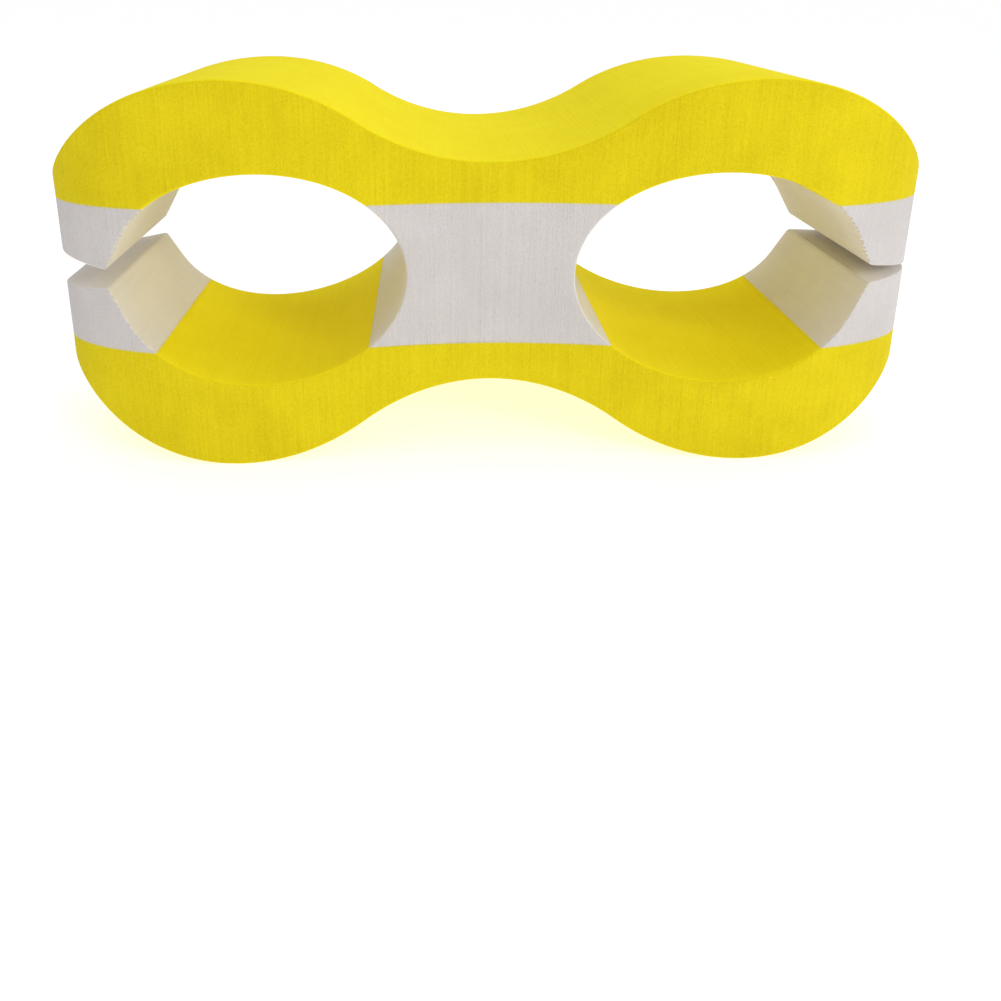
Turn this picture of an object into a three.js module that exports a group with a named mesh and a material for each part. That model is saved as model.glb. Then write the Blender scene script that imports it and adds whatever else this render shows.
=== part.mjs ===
// Pull buoy: a figure-eight leg float, cut from a laminated block of closed-cell
// EVA foam (yellow, white, yellow). Two ankle holes go through it from front to
// back, and a slit opens each hole through the white layer to the end of the float,
// so that the jaws above and below the slit spring apart around an ankle.
//
// Millimetres. +X runs along the float, +Y from its hollow front face to its domed
// back face, +Z through the three layers. The float stands on its two lower lobes,
// and the origin is under the middle of its box. The curves below are drawn about
// the mid plane of the white layer, and add() puts the finished pieces in place.
import * as THREE from "three";

// ---- Driving dimensions -------------------------------------------------------
const HALF_LENGTH = 122.5; // middle to the flat of each end
const LOBE_HEIGHT = 54; // mid plane to the crest of a lobe
const LOBE_X = 71; // middle to the crest of a lobe
const LOBE_RADIUS = 61; // outline over a lobe
const WAIST_HEIGHT = 31.6; // mid plane to the outline at the waist
const SHOULDER_RADIUS = 10; // outline between a lobe and the flat end
const REST_FLAT = 6; // width of the flat that a lobe stands on

const HOLE_X = 63.3; // middle to the centre of an ankle hole
const HOLE_HALF_WIDTH = 40;
const HOLE_HALF_HEIGHT = 29.6;

const WHITE_HALF = 20.3; // mid plane to the glue line of the white layer
const FILM = 0.3; // thickness of a glue line
const NIB = 3.2; // how far the hole's end is drawn out into the slit
const NIB_HEIGHT = 11; // height over which it is drawn out, from the mid plane

// Mid plane to a slit's walls, where it leaves the hole and at the end of the float.
// The left slit gapes at its mouth, and the right one has all but closed there.
const SLIT_HALF = 2.6;
const SLIT_MOUTH = {
  left: { upper: 4.9, lower: 4.9 },
  right: { upper: -0.5, lower: 1.8 },
};

const FRONT_WAIST = 21.7; // depth of the front face from y = 0, at the waist
const FRONT_LOBE = 29.5; // at its fullest, beside a hole
const FRONT_LOBE_X = 76;
const FRONT_END = 5.2; // where it meets the flat end
const BACK_WAIST = 73.7; // depth of the back face from y = 0, at the waist
const BACK_FALL = 39.2; // how far the dome falls away towards the ends
const BACK_END = 27.2; // where it meets the flat end
const BACK_ROUND = 22; // length of the rounding before the flat end

const SQUEEZE_DEG = 1.5; // how far a jaw can be pressed shut
const HINGE_RISE = 0.2; // hinge line above the outline

// ---- Materials ----------------------------------------------------------------
const yellowFoam = new THREE.MeshStandardMaterial({ color: 0xe8d816, roughness: 0.85, metalness: 0 });
const whiteFoam = new THREE.MeshStandardMaterial({ color: 0xd9d3cd, roughness: 0.88, metalness: 0 });
const glue = new THREE.MeshStandardMaterial({ color: 0xd8d2a8, roughness: 0.5, metalness: 0 });

// ---- Curves of the float ------------------------------------------------------

// Upper outline z(x): a hollow arc at the waist, an arc over the lobe, a shoulder
// arc that ends upright at the flat end. Each arc is tangent to the next.
const waistRadius = (() => {
  const rise = WAIST_HEIGHT - LOBE_HEIGHT + LOBE_RADIUS;
  return (LOBE_X ** 2 + rise ** 2 - LOBE_RADIUS ** 2) / (2 * (LOBE_HEIGHT - WAIST_HEIGHT));
})();
const lobeCentreZ = LOBE_HEIGHT - LOBE_RADIUS;
const waistCentreZ = WAIST_HEIGHT + waistRadius;
const waistEndX = (LOBE_X * waistRadius) / (waistRadius + LOBE_RADIUS);
const shoulderX = HALF_LENGTH - SHOULDER_RADIUS;
const shoulderZ =
  lobeCentreZ + Math.sqrt((LOBE_RADIUS - SHOULDER_RADIUS) ** 2 - (shoulderX - LOBE_X) ** 2);
const lobeEndX = LOBE_X + ((shoulderX - LOBE_X) * LOBE_RADIUS) / (LOBE_RADIUS - SHOULDER_RADIUS);

function outline(x) {
  const d = Math.abs(x);
  if (d < waistEndX) return waistCentreZ - Math.sqrt(waistRadius ** 2 - d ** 2);
  if (Math.abs(d - LOBE_X) <= REST_FLAT / 2) return LOBE_HEIGHT;
  if (d < lobeEndX) return lobeCentreZ + Math.sqrt(LOBE_RADIUS ** 2 - (d - LOBE_X) ** 2);
  return shoulderZ + Math.sqrt(Math.max(SHOULDER_RADIUS ** 2 - (d - shoulderX) ** 2, 0));
}

// Half height of an ankle hole at x, and half width of the hole at height z.
function holeHeight(x) {
  const t = (Math.abs(x) - HOLE_X) / HOLE_HALF_WIDTH;
  return HOLE_HALF_HEIGHT * Math.sqrt(Math.max(1 - t ** 2, 0));
}
function holeWidth(z) {
  return HOLE_HALF_WIDTH * Math.sqrt(1 - (z / HOLE_HALF_HEIGHT) ** 2);
}

// Front face, y(x): hollow at the waist, full beside the holes, then a quarter
// ellipse that rolls into the end.
function front(x) {
  const d = Math.min(Math.abs(x), HALF_LENGTH);
  if (d < FRONT_LOBE_X) {
    const wave = (1 - Math.cos((Math.PI * d) / FRONT_LOBE_X)) / 2;
    return -(FRONT_WAIST + (FRONT_LOBE - FRONT_WAIST) * wave);
  }
  const t = (d - FRONT_LOBE_X) / (HALF_LENGTH - FRONT_LOBE_X);
  return -(FRONT_END + (FRONT_LOBE - FRONT_END) * Math.sqrt(1 - t ** 2));
}

// Back face, y(x): a dome over the waist that falls away to the ends.
function back(x) {
  const d = Math.min(Math.abs(x), HALF_LENGTH);
  const dome = BACK_WAIST - (BACK_FALL * (1 - Math.cos((Math.PI * d) / HALF_LENGTH))) / 2;
  const t = Math.max((d - HALF_LENGTH + BACK_ROUND) / BACK_ROUND, 0);
  const roundOff = BACK_WAIST - BACK_FALL - BACK_END;
  return dome - roundOff * (1 - Math.sqrt(1 - t ** 2));
}

// ---- Solids -------------------------------------------------------------------

// A closed block whose side view is a four-sided patch and whose front and back
// follow the float's faces. place(u, v) gives [x, z] at each of the steps in us and
// vs, and turns from u to v as X does to Z.
function block(place, us, vs) {
  const nu = us.length;
  const nv = vs.length;
  const vertices = [];
  for (const face of [front, back]) {
    for (const v of vs) {
      for (const u of us) {
        const [x, z] = place(u, v);
        vertices.push(x, face(x), z);
      }
    }
  }
  const at = (side, i, j) => side * nu * nv + j * nu + i;
  const triangles = [];
  const quad = (a, b, c, d) => triangles.push(a, b, c, a, c, d);
  for (let j = 0; j + 1 < nv; j++) {
    for (let i = 0; i + 1 < nu; i++) {
      quad(at(0, i, j), at(0, i + 1, j), at(0, i + 1, j + 1), at(0, i, j + 1));
      quad(at(1, i, j), at(1, i, j + 1), at(1, i + 1, j + 1), at(1, i + 1, j));
    }
  }
  for (let i = 0; i + 1 < nu; i++) {
    quad(at(0, i, 0), at(1, i, 0), at(1, i + 1, 0), at(0, i + 1, 0));
    quad(at(0, i + 1, nv - 1), at(1, i + 1, nv - 1), at(1, i, nv - 1), at(0, i, nv - 1));
  }
  for (let j = 0; j + 1 < nv; j++) {
    quad(at(0, 0, j + 1), at(1, 0, j + 1), at(1, 0, j), at(0, 0, j));
    quad(at(0, nu - 1, j), at(1, nu - 1, j), at(1, nu - 1, j + 1), at(0, nu - 1, j + 1));
  }
  const geometry = new THREE.BufferGeometry();
  geometry.setAttribute("position", new THREE.Float32BufferAttribute(vertices, 3));
  geometry.setIndex(triangles);
  return geometry;
}

// n equal steps from 0 to 1, and a cosine spacing that crowds towards both ends.
const even = (n) => Array.from({ length: n + 1 }, (_, i) => i / n);
const crowded = (n) => even(n).map((t) => (1 - Math.cos(Math.PI * t)) / 2);
const mix = (a, b, t) => a + (b - a) * t;

// The same block turned over the mid plane (below) or the middle (left).
function mirrored(geometry, left, below) {
  const copy = geometry.clone();
  copy.scale(left ? -1 : 1, 1, below ? -1 : 1);
  if (left !== below) {
    const index = copy.getIndex();
    for (let i = 0; i < index.count; i += 3) {
      const b = index.getX(i + 1);
      index.setX(i + 1, index.getX(i + 2));
      index.setX(i + 2, b);
    }
  }
  return copy;
}

// Yellow layer between the crowns of the two holes, above the mid plane.
function yellowCore() {
  const webEdge = HOLE_X - holeWidth(WHITE_HALF);
  const half = [0, 9, 18, 27, webEdge, 41, 48, 55.5, HOLE_X];
  const xs = [...half.slice(1).map((x) => -x).reverse(), ...half];
  const floor = (x) => (Math.abs(x) <= webEdge ? WHITE_HALF + FILM / 2 : holeHeight(x));
  const place = (u, v) => {
    const x = xs[u];
    return [x, mix(floor(x), outline(x), v)];
  };
  return block(place, [...xs.keys()], even(1));
}

// Yellow layer from the crown of the right hole to the right end, above the mid
// plane. Its face at the crown leans back from the hinge line by the squeeze angle.
function yellowJaw() {
  const tipEdge = HOLE_X + holeWidth(WHITE_HALF);
  const lean = Math.tan(THREE.MathUtils.degToRad(SQUEEZE_DEG));
  const hingeZ = outline(HOLE_X) + HINGE_RISE;
  const floor = (x) => (x >= tipEdge ? WHITE_HALF + FILM / 2 : holeHeight(x));
  const xs = [
    HOLE_X,
    LOBE_X - REST_FLAT / 2,
    LOBE_X + REST_FLAT / 2,
    80,
    86.5,
    tipEdge,
    98,
    103.5,
    108.5,
    113,
    116.5,
    119,
    121,
    122,
    HALF_LENGTH,
  ];
  const place = (u, v) => {
    const x = xs[u];
    const z = mix(floor(x), outline(x), v);
    return [u === 0 ? x + (hingeZ - z) * lean : x, z];
  };
  return block(place, [...xs.keys()], even(1));
}

// White web between the two holes, its sides the walls of the holes.
function whiteWeb() {
  const place = (u, v) => {
    const z = mix(-1, 1, v) * (WHITE_HALF - FILM / 2);
    return [(2 * u - 1) * (HOLE_X - holeWidth(z)), z];
  };
  return block(place, even(8), even(8));
}

// White tip above the slit at the right end: the hole's wall on its left, the
// slit below it and the flat end on its right. mouth is the slit's height there.
function whiteTip(mouth) {
  const top = WHITE_HALF - FILM / 2;
  const place = (u, v) => {
    const inner = mix(SLIT_HALF, top, v);
    const outer = mix(mouth, top, v);
    const nib = NIB * Math.max(1 - inner / NIB_HEIGHT, 0) ** 2;
    return [mix(HOLE_X + holeWidth(inner) + nib, HALF_LENGTH, u), mix(inner, outer, u)];
  };
  return block(place, [0, 0.25, 0.5, 0.7, 0.84, 0.94, 1], [0, 0.15, 0.35, 0.65, 1]);
}

// Glue line on top of the web, and on top of the right tip.
function glueStrip(from, to, steps) {
  const place = (u, v) => [mix(from, to, u), WHITE_HALF + (v - 0.5) * FILM];
  return block(place, steps, even(1));
}
const webGlue = () => {
  const edge = HOLE_X - holeWidth(WHITE_HALF);
  return glueStrip(-edge, edge, even(8));
};
const tipGlue = () => {
  const edge = HOLE_X + holeWidth(WHITE_HALF);
  return glueStrip(edge, HALF_LENGTH, crowded(8));
};

// ---- Assembly -----------------------------------------------------------------
const group = new THREE.Group();

function add(name, geometry, material) {
  const mesh = new THREE.Mesh(geometry, material);
  mesh.name = name;
  mesh.position.set(0, (FRONT_LOBE - BACK_WAIST) / 2, LOBE_HEIGHT);
  group.add(mesh);
}

add("white_web", whiteWeb(), whiteFoam);
for (const [level, below] of [["upper", false], ["lower", true]]) {
  add(`yellow_core_${level}`, mirrored(yellowCore(), false, below), yellowFoam);
  add(`glue_web_${level}`, mirrored(webGlue(), false, below), glue);
  for (const [side, left] of [["left", true], ["right", false]]) {
    add(`yellow_jaw_${level}_${side}`, mirrored(yellowJaw(), left, below), yellowFoam);
    const tip = whiteTip(SLIT_MOUTH[side][level]);
    add(`white_tip_${level}_${side}`, mirrored(tip, left, below), whiteFoam);
    add(`glue_tip_${level}_${side}`, mirrored(tipGlue(), left, below), glue);
  }
}

export default group;
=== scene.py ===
import math

import bpy
import numpy as np
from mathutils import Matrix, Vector


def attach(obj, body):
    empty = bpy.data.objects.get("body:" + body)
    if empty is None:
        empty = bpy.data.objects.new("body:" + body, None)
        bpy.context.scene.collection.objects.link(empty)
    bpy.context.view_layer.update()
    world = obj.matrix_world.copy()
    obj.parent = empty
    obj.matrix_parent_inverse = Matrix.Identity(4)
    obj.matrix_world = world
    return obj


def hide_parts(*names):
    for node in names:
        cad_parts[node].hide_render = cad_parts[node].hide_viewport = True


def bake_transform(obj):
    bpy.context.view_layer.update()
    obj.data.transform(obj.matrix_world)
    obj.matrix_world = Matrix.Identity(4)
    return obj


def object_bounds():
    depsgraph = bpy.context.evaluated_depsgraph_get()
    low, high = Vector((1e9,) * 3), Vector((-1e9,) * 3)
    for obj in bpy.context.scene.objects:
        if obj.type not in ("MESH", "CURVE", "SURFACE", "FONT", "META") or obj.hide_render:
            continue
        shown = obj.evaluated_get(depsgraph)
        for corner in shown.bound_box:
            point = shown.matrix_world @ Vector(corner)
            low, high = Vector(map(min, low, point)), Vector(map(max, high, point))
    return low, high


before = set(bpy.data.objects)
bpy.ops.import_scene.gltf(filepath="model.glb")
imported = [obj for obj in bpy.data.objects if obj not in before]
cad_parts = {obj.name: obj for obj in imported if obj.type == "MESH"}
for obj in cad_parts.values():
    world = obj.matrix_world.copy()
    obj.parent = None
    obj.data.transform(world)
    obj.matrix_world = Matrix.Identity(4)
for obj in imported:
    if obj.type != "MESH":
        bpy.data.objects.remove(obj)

cad_low, cad_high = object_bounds()

# ---- Camera -----------------------------------------------------------------------
# Close to the float, a little to its left and above it, looking at its hollow front.
# The float stands in the upper part of the frame.
CAMERA_AZIMUTH, CAMERA_ELEVATION = -1.2475, 17.8038  # degrees
CAMERA_DISTANCE = 0.27856
CAMERA_TARGET = Vector((-0.01104, -0.0221, 0.04545))
SENSOR_MM = 36
LENS_MM = 33.109
SHIFT_ACROSS, SHIFT_UP = 0.0512, -0.2203

azimuth, elevation = math.radians(CAMERA_AZIMUTH), math.radians(CAMERA_ELEVATION)
towards_camera = Vector(
    (
        math.sin(azimuth) * math.cos(elevation),
        -math.cos(azimuth) * math.cos(elevation),
        math.sin(elevation),
    )
)
camera_data = bpy.data.cameras.new("camera")
camera_data.sensor_width = SENSOR_MM
camera_data.lens = LENS_MM
camera_data.shift_x = SHIFT_ACROSS
camera_data.shift_y = SHIFT_UP
camera = bpy.data.objects.new("camera", camera_data)
camera.location = CAMERA_TARGET + towards_camera * CAMERA_DISTANCE
camera.rotation_euler = (-towards_camera).to_track_quat("-Z", "Y").to_euler()
bpy.context.scene.collection.objects.link(camera)
bpy.context.scene.camera = camera

# ---- Yellow layers ----------------------------------------------------------------
# Closed-cell EVA foam above and below the white layer, sawn with it to the figure
# eight and hollowed by the ankle holes. Each layer is built as a left and a right
# half that meet inside the waist.
MM = 0.001
HALF_LENGTH = (cad_high.x - cad_low.x) / 2 / MM
LOBE_HEIGHT = (cad_high.z - cad_low.z) / 2 / MM
LOBE_X, LOBE_RADIUS, WAIST_HEIGHT, SHOULDER_RADIUS = 71, 61, 31.6, 10
HOLE_X, HOLE_HALF_WIDTH, HOLE_HALF_HEIGHT = 63.3, 40, 29.6
WHITE_HALF, GLUE_THICKNESS = 20.3, 0.3
FRONT_WAIST, FRONT_LOBE, FRONT_LOBE_X, FRONT_END = 21.7, 29.5, 76, 5.2
BACK_WAIST, BACK_FALL, BACK_END, BACK_ROUND = 73.7, 39.2, 27.2, 22
WORN_EDGE = 0.5  # radius where a face meets a wall
SHARP_DEGREES = 35  # an edge that turns more than this is shaded as a corner
CORNER_REACH = 1.2  # columns are closer within this distance of a corner
SHOULDER_COLUMNS = (117, 120.6)  # columns are closer beyond these, where the shoulder curves
WALL_STEPS = 84  # rows of faces from front to back

# The curves below are drawn about the mid plane of the white layer, in millimetres.
MIDDLE_Y = (FRONT_LOBE - BACK_WAIST) / 2
MIDDLE_Z = LOBE_HEIGHT

lobe_centre_z = LOBE_HEIGHT - LOBE_RADIUS
waist_rise = WAIST_HEIGHT - lobe_centre_z
waist_radius = (LOBE_X**2 + waist_rise**2 - LOBE_RADIUS**2) / (2 * (LOBE_HEIGHT - WAIST_HEIGHT))
waist_centre_z = WAIST_HEIGHT + waist_radius
shoulder_x = HALF_LENGTH - SHOULDER_RADIUS
shoulder_z = lobe_centre_z + math.sqrt(
    (LOBE_RADIUS - SHOULDER_RADIUS) ** 2 - (shoulder_x - LOBE_X) ** 2
)


def outline(x, inset):
    """Upper outline z(x), x from 0 to the end, set in by inset: a hollow arc at the waist,
    an arc over the lobe and a shoulder arc. Each is tangent to the next, so the hollow
    arc's radius grows by the inset and the other two shrink by it."""
    waist_r, lobe_r = waist_radius + inset, LOBE_RADIUS - inset
    shoulder_r = SHOULDER_RADIUS - inset
    waist_end = LOBE_X * waist_r / (waist_radius + LOBE_RADIUS)
    lobe_end = LOBE_X + (shoulder_x - LOBE_X) * lobe_r / (LOBE_RADIUS - SHOULDER_RADIUS)
    waist = waist_centre_z - np.sqrt(np.maximum(waist_r**2 - x**2, 0))
    lobe = lobe_centre_z + np.sqrt(np.maximum(lobe_r**2 - (x - LOBE_X) ** 2, 0))
    shoulder = shoulder_z + np.sqrt(np.maximum(shoulder_r**2 - (x - shoulder_x) ** 2, 0))
    return np.where(x < waist_end, waist, np.where(x < lobe_end, lobe, shoulder))


def hole_height(x, inset):
    """Half height of the right ankle hole at x: an ellipse whose half axes grow by the inset."""
    t = (x - HOLE_X) / (HOLE_HALF_WIDTH + inset)
    return (HOLE_HALF_HEIGHT + inset) * np.sqrt(np.maximum(1 - t**2, 0))


def hole_width(z, inset=0.0):
    """Half width of an ankle hole at height z: the same ellipse solved for its width."""
    return (HOLE_HALF_WIDTH + inset) * np.sqrt(1 - (z / (HOLE_HALF_HEIGHT + inset)) ** 2)


def front(x):
    """Front face y(x): a cosine wave from waist to lobe, then a quarter ellipse to the end."""
    d = np.minimum(np.abs(x), HALF_LENGTH)
    wave = FRONT_WAIST + (FRONT_LOBE - FRONT_WAIST) * (1 - np.cos(np.pi * d / FRONT_LOBE_X)) / 2
    t = np.clip((d - FRONT_LOBE_X) / (HALF_LENGTH - FRONT_LOBE_X), 0, 1)
    rolled = FRONT_END + (FRONT_LOBE - FRONT_END) * np.sqrt(1 - t**2)
    return -np.where(d < FRONT_LOBE_X, wave, rolled)


def back(x):
    """Back face y(x): a cosine dome, rounded off by a quarter ellipse before the flat end."""
    d = np.minimum(np.abs(x), HALF_LENGTH)
    dome = BACK_WAIST - BACK_FALL * (1 - np.cos(np.pi * d / HALF_LENGTH)) / 2
    t = np.clip((d - HALF_LENGTH + BACK_ROUND) / BACK_ROUND, 0, 1)
    return dome - (BACK_WAIST - BACK_FALL - BACK_END) * (1 - np.sqrt(1 - t**2))


def saw_wander(x, y, z):
    """How far the saw strayed off a face, in mm: three sine waves 17 to 70 mm long."""
    return (
        0.10 * np.sin(x / 9.1 + 0.8) * np.cos(z / 6.3 + 1.9)
        + 0.07 * np.sin(y / 4.9 + x / 11.3)
        + 0.05 * np.sin(z / 2.7 + x / 7.7 + 0.4)
    )


def steps(*stops):
    """Runs of equal steps: steps(a, n, b, m, c) is n steps from a to b, then m steps to c."""
    runs = [np.array([stops[0]], float)]
    for start, count, end in zip(stops[:-2:2], stops[1:-1:2], stops[2::2]):
        runs.append(np.linspace(start, end, count + 1)[1:])
    return np.concatenate(runs)


def foam_block(name, place, us, vs, depth_steps, left=False, below=False, back_place=None):
    """A closed block of foam between the float's two faces. place(u, v, inset) gives x and z,
    and back_place, if given, takes over from it on the back face.

    Each face is the grid us by vs, set in by the worn edge's radius r. A quarter round of
    three steps, inset = r (1 - sin a) and depth = r (1 - cos a), leads from it to the wall
    that runs round the grid's border to the other face. left and below mirror the block.
    """
    back_place = back_place or place
    u, v = np.meshgrid(us, vs, indexing="ij")
    nu, nv = u.shape
    border = np.concatenate(
        [
            np.arange(nu) * nv,
            (nu - 1) * nv + np.arange(1, nv),
            np.arange(nu - 2, -1, -1) * nv + nv - 1,
            np.arange(nv - 2, 0, -1),
        ]
    )
    turns = np.radians([30, 60, 90])  # the quarter round's three steps
    insets, depths = WORN_EDGE * (1 - np.sin(turns)), WORN_EDGE * (1 - np.cos(turns))
    rows = [(i, "front", d) for i, d in zip(insets, depths)]
    rows += [(0.0, "wall", t) for t in np.linspace(0, 1, depth_steps + 1)[1:-1]]
    rows += [(i, "back", d) for i, d in zip(insets[::-1], depths[::-1])]

    face_x, face_z = (a.ravel() for a in place(u, v, WORN_EDGE))
    points = [np.c_[face_x, front(face_x), face_z]]
    sawn = [np.ones(nu * nv)]
    border_u, border_v = u.ravel()[border], v.ravel()[border]
    for inset, kind, amount in rows:
        row_place = back_place if kind == "back" else place
        x, z = row_place(border_u, border_v, inset)
        if kind == "front":
            y = front(x) + amount
        elif kind == "back":
            y = back(x) - amount
        else:
            y = front(x) + WORN_EDGE + (back(x) - front(x) - 2 * WORN_EDGE) * amount
        points.append(np.c_[x, y, z])
        sawn.append(np.full(len(border), inset / WORN_EDGE))
    face_x, face_z = (a.ravel() for a in back_place(u, v, WORN_EDGE))
    points.append(np.c_[face_x, back(face_x), face_z])
    sawn.append(np.ones(nu * nv))
    points, sawn = np.vstack(points), np.concatenate(sawn)

    grid = np.arange(nu * nv).reshape(nu, nv)
    corners = (grid[:-1, :-1], grid[1:, :-1], grid[1:, 1:], grid[:-1, 1:])
    front_quads = np.stack(corners, -1).reshape(-1, 4)
    back_start = len(points) - nu * nv
    loops = [border]
    loops += [nu * nv + k * len(border) + np.arange(len(border)) for k in range(len(rows))]
    loops.append(back_start + border)
    quads = [front_quads, front_quads[:, ::-1] + back_start]
    for a, b in zip(loops[:-1], loops[1:]):
        quads.append(np.stack([a, b, np.roll(b, -1), np.roll(a, -1)], -1))
    quads = np.vstack(quads)

    x, y, z = points.T
    y = y + saw_wander(x, y, z) * sawn * np.where(y < 0, -1, 1)
    x = -x if left else x
    z = -z if below else z
    if left != below:
        quads = quads[:, ::-1]
    mesh = bpy.data.meshes.new(name)
    mesh.from_pydata((np.c_[x, y + MIDDLE_Y, z + MIDDLE_Z] * MM).tolist(), [], quads.tolist())
    uncut = mesh.attributes.new("block_mm", "FLOAT_VECTOR", "POINT")
    uncut.data.foreach_set("vector", np.c_[x, y, z].astype(np.float32).ravel())
    face = mesh.attributes.new("sawn_face", "FLOAT", "POINT")
    face.data.foreach_set("value", sawn.astype(np.float32))
    mesh.shade_smooth()
    mesh.set_sharp_from_angle(angle=math.radians(SHARP_DEGREES))
    piece = bpy.data.objects.new(name, mesh)
    bpy.context.scene.collection.objects.link(piece)
    return piece


# The foam's texture: noise cells per millimetre along x, y and z.
LONG_STROKES, SHORT_STROKES = (0.95, 0.3, 0.018), (2.1, 0.8, 0.10)
LONG_LEAN, SHORT_LEAN = 2.5, -2.0  # degrees that the strokes lean from upright
KNIFE_BANDS, KNIFE_LINES = (0.22, 0.008, 0.22), (1.7, 0.020, 1.7)
GRAIN, BLOTCHES = (1.5, 1.5, 1.5), (0.05, 0.05, 0.05)
CUT_CELLS = 1.7
RELIEF_DEPTH = 0.00045  # metres


def foam_material(name, face_colours, wall_tone_and_painted_light, roughness):
    """EVA foam by its place in the block: saw strokes up the two faces, long knife lines along
    the walls from front to back, cut cells all over, and slow blotches in the colour. The
    walls are coloured lighter than the faces, partly as the foam's own tone and, on the
    yellow and white foam, partly as painted light that brightens the walls and the holes' insides."""
    material = bpy.data.materials.new(name)
    material.use_nodes = True
    nodes, links = material.node_tree.nodes, material.node_tree.links
    nodes.clear()

    def node(kind, inputs, **settings):
        """A node with its inputs linked to sockets or set to values."""
        made = nodes.new(kind)
        for key, value in settings.items():
            setattr(made, key, value)
        for key, value in inputs.items():
            if isinstance(value, bpy.types.NodeSocket):
                links.new(value, made.inputs[key])
            else:
                made.inputs[key].default_value = value
        return made

    def spread(scale, lean=0.0):
        """The place in the block, stretched by scale and leant about the y axis."""
        turned = {"Vector": place, "Scale": scale, "Rotation": (0, math.radians(lean), 0)}
        return node("ShaderNodeMapping", turned).outputs[0]

    def noise(scale, detail, lean=0.0):
        inputs = {"Vector": spread(scale, lean), "Scale": 1.0, "Detail": detail, "Roughness": 0.6}
        return node("ShaderNodeTexNoise", inputs).outputs["Fac"]

    def maths(operation, a, b):
        return node("ShaderNodeMath", {0: a, 1: b}, operation=operation).outputs[0]

    def blend(factor, a, b):
        made = node("ShaderNodeMix", {"Factor": factor, "A": a, "B": b}, data_type="FLOAT")
        return made.outputs["Result"]

    def blend_colour(factor, a, b):
        made = node("ShaderNodeMix", {"Factor": factor}, data_type="RGBA")
        for socket, value in ((made.inputs[6], a), (made.inputs[7], b)):
            if isinstance(value, bpy.types.NodeSocket):
                links.new(value, socket)
            else:
                socket.default_value = (*value, 1)
        return made.outputs[2]

    place = node("ShaderNodeAttribute", {}, attribute_name="block_mm").outputs["Vector"]
    sawn = node("ShaderNodeAttribute", {}, attribute_name="sawn_face").outputs["Fac"]
    long_strokes = noise(LONG_STROKES, 3.0, LONG_LEAN)
    short_strokes = noise(SHORT_STROKES, 2.0, SHORT_LEAN)
    strokes = maths("ADD", maths("MULTIPLY", long_strokes, 0.6), maths("MULTIPLY", short_strokes, 0.4))
    knife_bands = noise(KNIFE_BANDS, 2.0)
    knife_lines = noise(KNIFE_LINES, 2.0)
    knife = maths("ADD", maths("MULTIPLY", knife_bands, 0.45), maths("MULTIPLY", knife_lines, 0.55))
    lines = blend(sawn, knife, strokes)
    grain = noise(GRAIN, 3.0)
    cut_surface = {"Vector": place, "Scale": CUT_CELLS, "Randomness": 1.0}
    cells = node("ShaderNodeTexVoronoi", cut_surface).outputs["Distance"]
    blotches = noise(BLOTCHES, 2.0)

    shade = maths("ADD", maths("MULTIPLY", lines, 0.32), maths("MULTIPLY", grain, 0.33))
    shade = maths("ADD", shade, maths("MULTIPLY", blotches, 0.35))
    tone = node("ShaderNodeMapRange", {"Value": shade, "From Min": 0.36, "From Max": 0.64})
    face = blend_colour(tone.outputs[0], *face_colours)
    # painted light: the wall colours are lighter than the face colours, partly the foam's own tone and
    # partly painted light on the walls and inside the holes
    wall = blend_colour(tone.outputs[0], *wall_tone_and_painted_light)
    colour = blend_colour(sawn, wall, face)

    relief = blend(sawn, maths("MULTIPLY", knife, 0.9), maths("MULTIPLY", strokes, 1.3))
    cut_cells = maths("MULTIPLY", maths("MINIMUM", cells, 0.5), blend(sawn, 0.18, 0.5))
    relief = maths("ADD", relief, cut_cells)
    relief = maths("ADD", relief, maths("MULTIPLY", grain, blend(sawn, 0.30, 0.75)))
    bump = node("ShaderNodeBump", {"Strength": 0.7, "Distance": RELIEF_DEPTH, "Height": relief})
    dull = {"Value": shade, "From Min": 0.3, "From Max": 0.7}
    dull |= {"To Min": roughness + 0.1, "To Max": roughness}
    shader = node(
        "ShaderNodeBsdfPrincipled",
        {
            "Base Color": colour,
            "Roughness": node("ShaderNodeMapRange", dull).outputs[0],
            "Normal": bump.outputs[0],
            "Specular IOR Level": 0.12,
            "Subsurface Weight": 0.12,
            "Subsurface Radius": (1.0, 0.8, 0.3),
            "Subsurface Scale": 0.0015,
        },
    )
    node("ShaderNodeOutputMaterial", {"Surface": shader.outputs[0]})
    return material


# The wall colours, the second pair, are lighter than the face colours: partly the yellow foam's own
# tone, partly painted light on the tops and inside the holes.
YELLOW_FOAM = foam_material(
    "yellow_foam",
    ((0.64, 0.508, 0.0045), (0.785, 0.645, 0.0080)),
    ((0.90, 0.745, 0.0055), (0.96, 0.825, 0.0100)),
    0.80,
)

glue_top = WHITE_HALF + GLUE_THICKNESS / 2
web_edge = HOLE_X - float(hole_width(WHITE_HALF))
tip_edge = HOLE_X + float(hole_width(WHITE_HALF))


def yellow_half(u, v, inset):
    """The column at x = u, from the glue line or the hole's wall (v = 0) to the outline (v = 1)."""
    stretch = (HALF_LENGTH - inset - LOBE_X) / (HALF_LENGTH - LOBE_X)
    x = np.where(u > LOBE_X, LOBE_X + (u - LOBE_X) * stretch, u)
    low = np.maximum(hole_height(x, inset), glue_top)
    return x, low + (outline(x, inset) - low) * v


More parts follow.
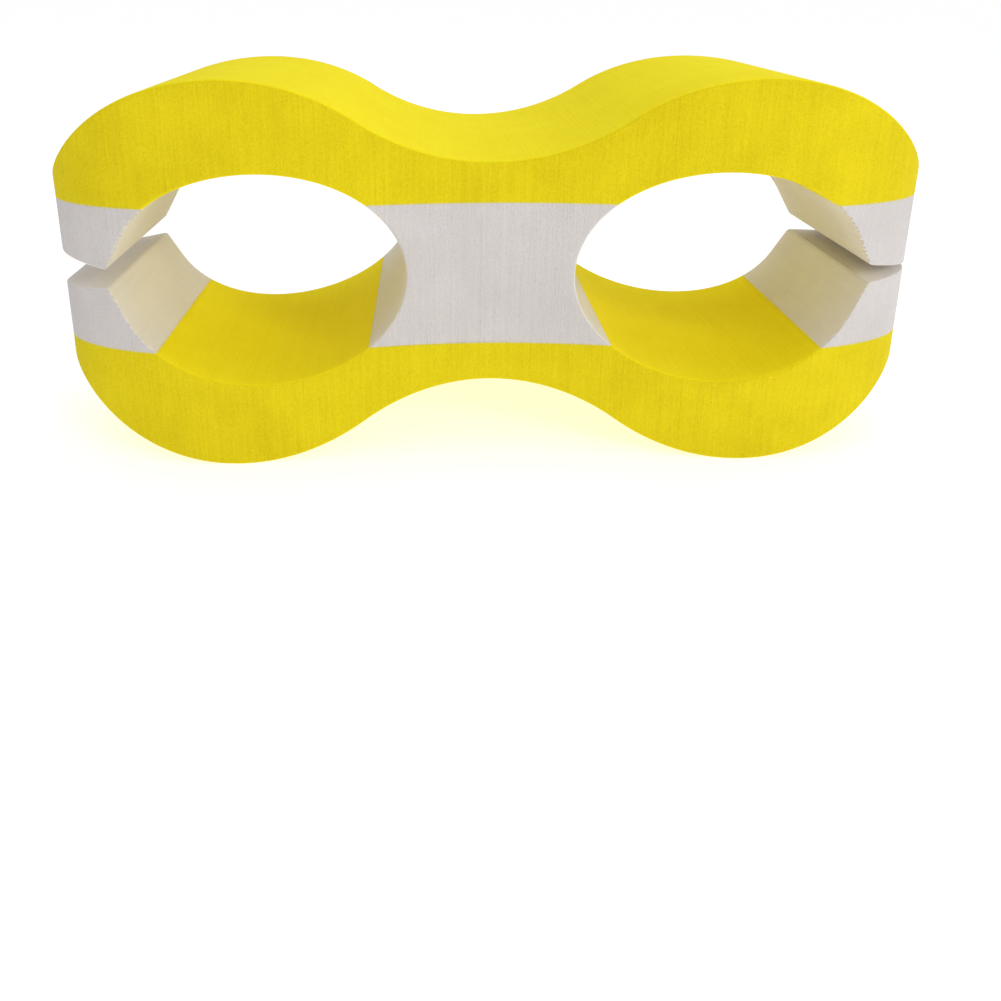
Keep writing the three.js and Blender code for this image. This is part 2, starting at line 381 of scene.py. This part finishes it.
web_corner = (web_edge - CORNER_REACH, 6, web_edge + CORNER_REACH)
tip_corner = (tip_edge - CORNER_REACH, 6, tip_edge + CORNER_REACH)
shoulder = (SHOULDER_COLUMNS[0], 12, SHOULDER_COLUMNS[1], 12, HALF_LENGTH)
yellow_columns = steps(0, 33, *web_corner, 64, *tip_corner, 28, *shoulder)
yellow_rows = steps(0, 26, 1)
for level, below in (("upper", False), ("lower", True)):
    for side, left in (("left", True), ("right", False)):
        name = f"yellow_layer_{level}_{side}"
        layer = foam_block(name, yellow_half, yellow_columns, yellow_rows, WALL_STEPS, left, below)
        layer.data.materials.append(YELLOW_FOAM)
        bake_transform(layer)
        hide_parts(f"yellow_jaw_{level}_{side}", *([f"yellow_core_{level}"] if left else []))

# ---- White web --------------------------------------------------------------------
# The white foam between the two ankle holes, glued to both yellow layers. The holes'
# walls are its sides.
web_half = WHITE_HALF - GLUE_THICKNESS / 2

# The wall colours, the second pair, are lighter than the face colours: partly the white foam's own
# tone, partly painted light on the walls and inside the holes.
WHITE_FOAM = foam_material(
    "white_foam",
    ((0.565, 0.530, 0.515), (0.645, 0.610, 0.595)),
    ((0.73, 0.690, 0.650), (0.80, 0.765, 0.730)),
    0.82,
)


def web_place(u, v, inset):
    """z = v times the half height, and x = u times the half width that the holes leave there."""
    z = v * web_half
    return u * (HOLE_X - hole_width(z, inset)), z


web = foam_block("white_web_foam", web_place, steps(-1, 70, 1), steps(-1, 50, 1), WALL_STEPS)
web.data.materials.append(WHITE_FOAM)
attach(web, "core")
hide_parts("white_web")

# ---- White tips -------------------------------------------------------------------
# What the holes and slits leave of the white foam at the four end corners, glued to the
# yellow jaws. The slits are cut freehand: the left one gapes at its mouth, and the
# right one has almost closed. The saw has frayed the tips' front edges at the holes.
NIB, NIB_HEIGHT = 3.2, 11  # a hole's end is drawn out into its slit
SLIT_HALF = 2.6  # from the mid plane to a slit's wall, where it leaves the hole
SLIT_MOUTH = {  # and where it meets the float's end
    ("left", "upper"): 4.9,
    ("left", "lower"): 4.9,
    ("right", "upper"): -0.5,
    ("right", "lower"): 1.8,
}
SOFT_CORNER = 0.6  # radius where the slit's wall meets the hole's wall and the end
BURR = {"upper": 1.3, "lower": 0.6}  # length of the frayed teeth on the front face
CLEAN_BURR = 0.15  # and on the back, which is cut cleanly
TIP_WALL_STEPS = 70


def burrs(z, phase):
    """Torn teeth along an edge, 0 to 1: the upper halves of two sine waves about 1.5 and
    0.65 mm long, with the first wave's beat drifting."""
    first = np.sin(4.3 * z + phase + 1.4 * np.sin(0.9 * z + phase))
    second = np.sin(9.7 * z + 2.3 * phase)
    return 0.75 * np.maximum(first, 0) + 0.25 * np.maximum(second, 0)


def soften_corner(across, along):
    """Rounds the corner where both distances are 0: inside its square of side r, a point is
    drawn towards the far corner until the square's edge lies on the quarter circle."""
    p, q = np.maximum(SOFT_CORNER - across, 0), np.maximum(SOFT_CORNER - along, 0)
    shrink = np.maximum(p, q) / np.maximum(np.hypot(p, q), 1e-9)
    inside = (p > 0) & (q > 0)
    return np.where(inside, p * (1 - shrink), 0), np.where(inside, q * (1 - shrink), 0)


def tip_shape(mouth, burr, phase):
    """The place function of a tip whose slit is mouth high at the float's end."""

    def place(u, v, inset):
        """From the hole's wall (u = 0) to the flat end (u = 1), up from the slit's wall."""
        hole_z = SLIT_HALF + inset + (web_half - SLIT_HALF - inset) * v
        mouth_z = mouth + inset + (web_half - mouth - inset) * v
        nib = NIB * np.maximum(1 - hole_z / NIB_HEIGHT, 0) ** 2
        torn = burr * burrs(hole_z, phase) * inset / WORN_EDGE
        hole_x = HOLE_X + hole_width(hole_z, inset) + nib - torn
        end_x = HALF_LENGTH - inset
        x = hole_x + (end_x - hole_x) * u
        z = hole_z + (mouth_z - hole_z) * u
        above_slit = (web_half - SLIT_HALF) * v
        for across, sign in ((x - hole_x, 1), (end_x - x, -1)):
            shift_x, shift_z = soften_corner(across, above_slit)
            x, z = x + sign * shift_x, z + shift_z
        return x, z

    return place


tip_us, tip_vs = steps(0, 12, 0.15, 14, 0.6, 16, 0.93, 8, 1), steps(0, 10, 0.13, 60, 1)
for level, below in (("upper", False), ("lower", True)):
    for side, left in (("left", True), ("right", False)):
        mouth, phase = SLIT_MOUTH[side, level], 1.7 * left + 2.9 * below
        frayed, clean = (tip_shape(mouth, burr, phase) for burr in (BURR[level], CLEAN_BURR))
        name = f"white_tip_foam_{level}_{side}"
        tip = foam_block(name, frayed, tip_us, tip_vs, TIP_WALL_STEPS, left, below, clean)
        tip.data.materials.append(WHITE_FOAM)
        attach(tip, f"jaw_{level}_{side}")
        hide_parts(f"white_tip_{level}_{side}")

# ---- Glue lines -------------------------------------------------------------------
# Set contact cement between the white and the yellow foam, a hair's breadth thick and
# sawn flush with them, two lines on the web and one on each tip.
GLUE = foam_material(
    "glue_line",
    ((0.64, 0.56, 0.19), (0.74, 0.66, 0.27)),
    ((0.82, 0.74, 0.32), (0.88, 0.81, 0.42)),
    0.55,
)


def web_film(u, v, inset):
    """A flat film from hole to hole."""
    return u * (HOLE_X - hole_width(WHITE_HALF, inset)), web_half + GLUE_THICKNESS * v


def tip_film(u, v, inset):
    """A flat film from the hole to the float's end."""
    start = HOLE_X + hole_width(WHITE_HALF, inset)
    return start + (HALF_LENGTH - inset - start) * u, web_half + GLUE_THICKNESS * v


def finish_film(film, body, node_name):
    """Gives a film the glue's material and ties it to the body it moves with."""
    film.data.materials.append(GLUE)
    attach(film, body)
    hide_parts(node_name)


web_us, film_us, film_vs = steps(-1, 72, 1), steps(0, 44, 1), steps(0, 1, 1)
for level, below in (("upper", False), ("lower", True)):
    name = f"glue_line_web_{level}"
    film = foam_block(name, web_film, web_us, film_vs, WALL_STEPS, False, below)
    finish_film(film, "core", f"glue_web_{level}")
    for side, left in (("left", True), ("right", False)):
        name = f"glue_line_tip_{level}_{side}"
        film = foam_block(name, tip_film, film_us, film_vs, TIP_WALL_STEPS, left, below)
        finish_film(film, f"jaw_{level}_{side}", f"glue_tip_{level}_{side}")

# ---- Studio -----------------------------------------------------------------------
# A pale floor under a white sky, a large soft light high in front on the right and a
# weaker one overhead.
FLOOR_HALF = 40.0
PAPER_COLOUR, PAPER_GLOW, SKY_STRENGTH = 0.60, 0.60, 0.62
LIGHTS_AIM = Vector((0, 0, 0.05))
floor_mesh = bpy.data.meshes.new("floor")
floor_corners = [(x * FLOOR_HALF, y * FLOOR_HALF, 0) for x, y in ((-1, -1), (1, -1), (1, 1), (-1, 1))]
floor_mesh.from_pydata(floor_corners, [], [(0, 1, 2, 3)])
floor = bpy.data.objects.new("floor", floor_mesh)
bpy.context.scene.collection.objects.link(floor)
paper = bpy.data.materials.new("floor_paper")
paper.use_nodes = True
paper_shader = paper.node_tree.nodes["Principled BSDF"]
paper_shader.inputs["Base Color"].default_value = (*[PAPER_COLOUR] * 3, 1)
paper_shader.inputs["Roughness"].default_value = 0.9
paper_shader.inputs["Emission Color"].default_value = (1, 1, 1, 1)
paper_shader.inputs["Emission Strength"].default_value = PAPER_GLOW
floor.data.materials.append(paper)

sky = bpy.data.worlds.new("studio")
sky.use_nodes = True
sky.node_tree.nodes["Background"].inputs["Color"].default_value = (1, 1, 1, 1)
sky.node_tree.nodes["Background"].inputs["Strength"].default_value = SKY_STRENGTH
bpy.context.scene.world = sky
bpy.context.scene.view_settings.view_transform = "Standard"


def softbox(name, place, size, watts):
    """A square area light at place, size metres wide, aimed at the float."""
    data = bpy.data.lights.new(name, "AREA")
    data.shape = "SQUARE"
    data.size = size
    data.energy = watts
    light = bpy.data.objects.new(name, data)
    light.location = place
    light.rotation_euler = (LIGHTS_AIM - Vector(place)).to_track_quat("-Z", "Y").to_euler()
    bpy.context.scene.collection.objects.link(light)


softbox("key", (0.72, -0.90, 0.58), 0.40, 5.0)
softbox("overhead", (0.10, 0.10, 1.10), 0.60, 2.2)
